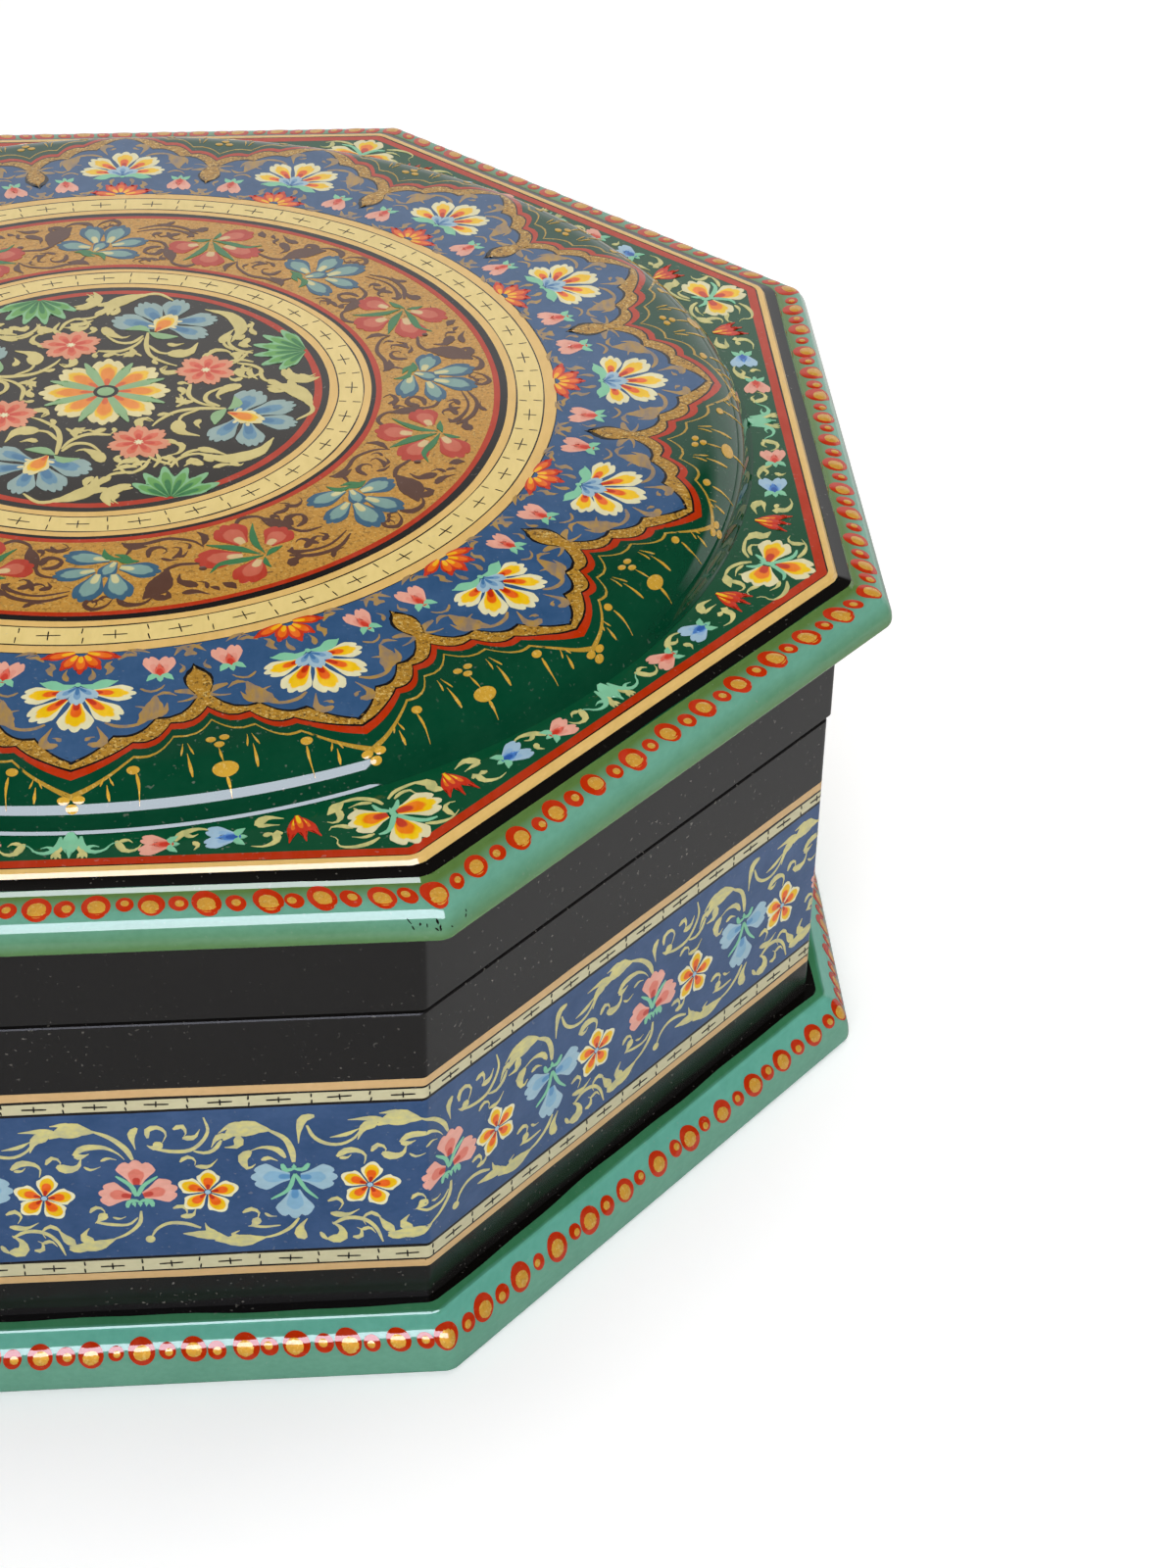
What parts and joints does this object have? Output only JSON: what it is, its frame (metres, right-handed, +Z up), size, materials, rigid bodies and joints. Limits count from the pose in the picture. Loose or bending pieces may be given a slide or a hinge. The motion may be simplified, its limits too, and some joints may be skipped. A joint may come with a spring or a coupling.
{
  "type": "octagonal trinket box",
  "caption": "Octagonal lacquered papier mache trinket box with a lift-off lid, moulded edges and a raised round medallion, painted with floral bands.",
  "frame": {"origin": "centre of the underside, on the surface that the box stands on", "axes": "+Z up through the middle of the box; a flat side faces each of +X, -X, +Y and -Y, with -Y the front"},
  "size_m": [0.1524, 0.1524, 0.0637],
  "materials": {
    "base_board_lacquer": "glossy lacquer",
    "wall_lacquer": "glossy lacquer",
    "lip_lacquer": "satin lacquer",
    "lid_board_lacquer": "glossy lacquer",
    "skirt_lacquer": "glossy lacquer",
    "medallion_lacquer": "glossy lacquer"
  },
  "bodies": {
    "base": {"base_board": "base_board_lacquer", "wall_right": "wall_lacquer", "wall_back_right": "wall_lacquer", "wall_back": "wall_lacquer", "wall_back_left": "wall_lacquer", "wall_left": "wall_lacquer", "wall_front_left": "wall_lacquer", "wall_front": "wall_lacquer", "wall_front_right": "wall_lacquer", "lip_right": "lip_lacquer", "lip_back_right": "lip_lacquer", "lip_back": "lip_lacquer", "lip_back_left": "lip_lacquer", "lip_left": "lip_lacquer", "lip_front_left": "lip_lacquer", "lip_front": "lip_lacquer", "lip_front_right": "lip_lacquer"},
    "lid": {"lid_board": "lid_board_lacquer", "skirt_right": "skirt_lacquer", "skirt_back_right": "skirt_lacquer", "skirt_back": "skirt_lacquer", "skirt_back_left": "skirt_lacquer", "skirt_left": "skirt_lacquer", "skirt_front_left": "skirt_lacquer", "skirt_front": "skirt_lacquer", "skirt_front_right": "skirt_lacquer", "medallion": "medallion_lacquer"}
  },
  "joints": [
    {"name": "lid_lift", "type": "slide", "parent": "base", "child": "lid", "axis": [0, 0, 1], "range_m": [0, 0.08]}
  ]
}
